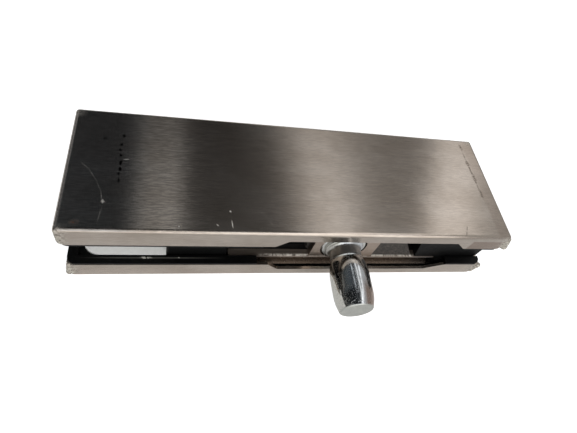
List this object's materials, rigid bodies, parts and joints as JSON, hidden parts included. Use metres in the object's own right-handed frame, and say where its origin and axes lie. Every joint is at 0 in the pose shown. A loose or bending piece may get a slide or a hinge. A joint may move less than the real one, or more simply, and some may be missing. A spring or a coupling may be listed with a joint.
{
  "type": "glass patch fitting",
  "caption": "Long rectangular clamp fitting for a frameless glass door, with folded brushed covers, a slot for the glass and a chromed barrel pivot pin on one long side.",
  "frame": {"origin": "on the pivot pin's axis, in the middle of the short cylindrical land round its belly", "axes": "+X along the fitting towards its near end, -Y out of the pin's free end, +Z out of the front cover; z = 0 is the middle of the glass"},
  "size_m": [0.164, 0.0729, 0.032],
  "materials": {
    "cover": "brushed along the length, lightly scratched",
    "casting": "black semi-matt paint on a casting",
    "gasket": "matt, pale",
    "bracket": "plain rolled sheet",
    "block": "rough cast, grey",
    "bush": "turned",
    "washer": "bright turned",
    "pin": "polished, finely pitted",
    "fastener": "plain",
    "spring": "spring steel"
  },
  "bodies": {
    "frame": {"front_cover": "cover", "rear_cover": "cover", "front_body": "casting", "rear_body": "casting", "front_gasket": "gasket", "rear_gasket": "gasket", "pivot_bracket": "bracket", "bearing_block": "block", "pivot_bush": "bush", "thrust_washer": "washer", "clamp_screws": "fastener", "clamp_washers": "fastener", "bracket_screws": "fastener", "block_screws": "fastener", "bush_screw": "fastener", "locating_pins": "fastener", "front_cover_clips": "spring", "rear_cover_clips": "spring"},
    "pin": {"pivot_pin": "pin", "end_washer": "washer", "retaining_ring": "spring"}
  },
  "joints": [
    {"name": "pin_turn", "type": "hinge", "parent": "frame", "child": "pin", "pos_m": [0, 0, 0], "axis": [0, -1, 0], "continuous": true}
  ]
}
